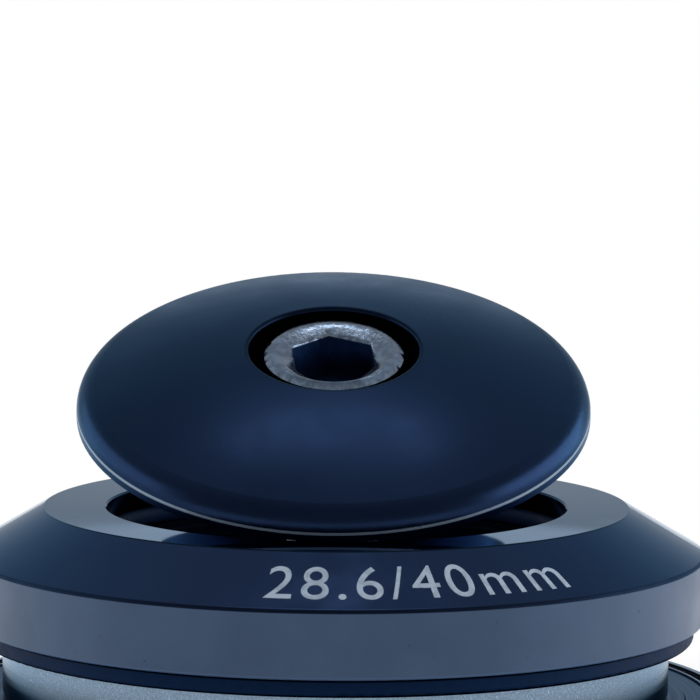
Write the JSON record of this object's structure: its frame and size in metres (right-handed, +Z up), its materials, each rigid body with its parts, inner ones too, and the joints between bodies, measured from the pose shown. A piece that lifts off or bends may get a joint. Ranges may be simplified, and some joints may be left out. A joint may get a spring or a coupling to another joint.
{
  "type": "bicycle headset",
  "caption": "Stacked threadless bicycle headset: domed top cap with socket bolt leaning on a tapered dust cover, over upper and lower cartridge bearings and a split crown race.",
  "frame": {"origin": "centre of the stack at the crown race's underside, where it stands on the bench", "axes": "+Z up along the steering axis, -Y toward the viewer, +X to the viewer's right"},
  "size_m": [0.052, 0.052, 0.0345],
  "materials": {
    "black_anodised": "gloss black anodised",
    "bearing_steel": "ground and polished",
    "bolt_steel": "plated, a little rough",
    "black_rubber": "smooth moulded rubber",
    "cage_plastic": "plain moulded"
  },
  "bodies": {
    "base": {"crown_race": "black_anodised", "crown_wiper": "black_rubber", "lower_inner_race": "bearing_steel", "upper_outer_race": "bearing_steel", "upper_seal_top": "black_rubber", "upper_seal_bottom": "black_rubber"},
    "lower_ring": {"lower_outer_race": "bearing_steel", "lower_seal_top": "black_rubber", "lower_seal_bottom": "black_rubber"},
    "lower_ball_train": {"lower_balls": "bearing_steel", "lower_cage": "cage_plastic"},
    "upper_ring": {"upper_inner_race": "bearing_steel", "compression_ring": "black_anodised", "steerer_oring": "black_rubber", "cover": "black_anodised", "cover_lip": "black_rubber", "top_cap": "black_anodised"},
    "upper_ball_train": {"upper_balls": "bearing_steel", "upper_cage": "cage_plastic"},
    "cap_bolt": {"top_cap_bolt": "bolt_steel"}
  },
  "joints": [
    {"name": "lower_bearing_turn", "type": "hinge", "parent": "base", "child": "lower_ring", "pos_m": [0, 0, 0.0059], "axis": [0, 0, 1], "continuous": true},
    {"name": "lower_cage_turn", "type": "hinge", "parent": "base", "child": "lower_ball_train", "pos_m": [0, 0, 0.0059], "axis": [0, 0, 1], "continuous": true},
    {"name": "upper_bearing_turn", "type": "hinge", "parent": "base", "child": "upper_ring", "pos_m": [0, 0, 0.0124], "axis": [0, 0, 1], "continuous": true},
    {"name": "upper_cage_turn", "type": "hinge", "parent": "base", "child": "upper_ball_train", "pos_m": [0, 0, 0.0124], "axis": [0, 0, 1], "continuous": true},
    {"name": "cap_bolt_turn", "type": "hinge", "parent": "upper_ring", "child": "cap_bolt", "pos_m": [-0.00021, 0.00022, 0.02718], "axis": [0, -0.3655, 0.9308], "continuous": true}
  ],
  "couplings": [
    {"joint": "lower_cage_turn", "follows": "lower_bearing_turn", "ratio": 0.5248},
    {"joint": "upper_cage_turn", "follows": "upper_bearing_turn", "ratio": 0.469}
  ]
}
